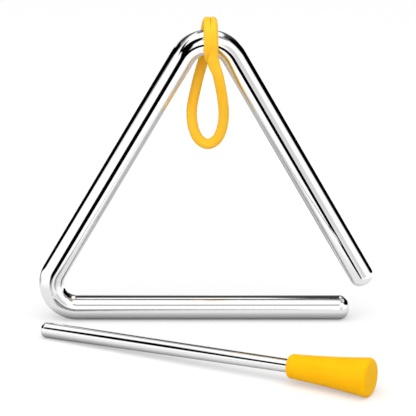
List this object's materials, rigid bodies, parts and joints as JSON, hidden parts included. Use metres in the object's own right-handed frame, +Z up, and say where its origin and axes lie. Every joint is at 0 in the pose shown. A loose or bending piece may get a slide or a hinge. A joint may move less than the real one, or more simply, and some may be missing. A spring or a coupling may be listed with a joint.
{
  "type": "triangle instrument",
  "caption": "Open triangle of round chrome steel bar with a yellow rubber cord loop at its apex, and a chrome beater with a flared yellow rubber grip, for striking a ringing tone.",
  "frame": {"origin": "middle of the set's footprint on the surface it stands on, measured without the cord loop", "axes": "+Z up; +X along the base bar towards the open corner; -Y towards the side where the beater lies"},
  "size_m": [0.136, 0.0977, 0.1247],
  "materials": {
    "bar_chrome": "polished chrome plate on steel",
    "cord_rubber": "satin yellow silicone rubber cord",
    "beater_chrome": "polished chrome plate on steel",
    "grip_rubber": "satin yellow moulded rubber"
  },
  "bodies": {
    "triangle": {"triangle_rod": "bar_chrome"},
    "loop": {"hanging_loop": "cord_rubber"},
    "beater": {"beater_rod": "beater_chrome", "beater_grip": "grip_rubber"}
  },
  "joints": [
    {"name": "loop_turn", "type": "hinge", "parent": "triangle", "child": "loop", "pos_m": [0.00098, 0.04172, 0.11618], "axis": [1, 0, 0], "continuous": true},
    {"name": "beater_slide", "type": "slide", "parent": "triangle", "child": "beater", "axis": [0, -1, 0], "range_m": [0, 0.15]}
  ]
}
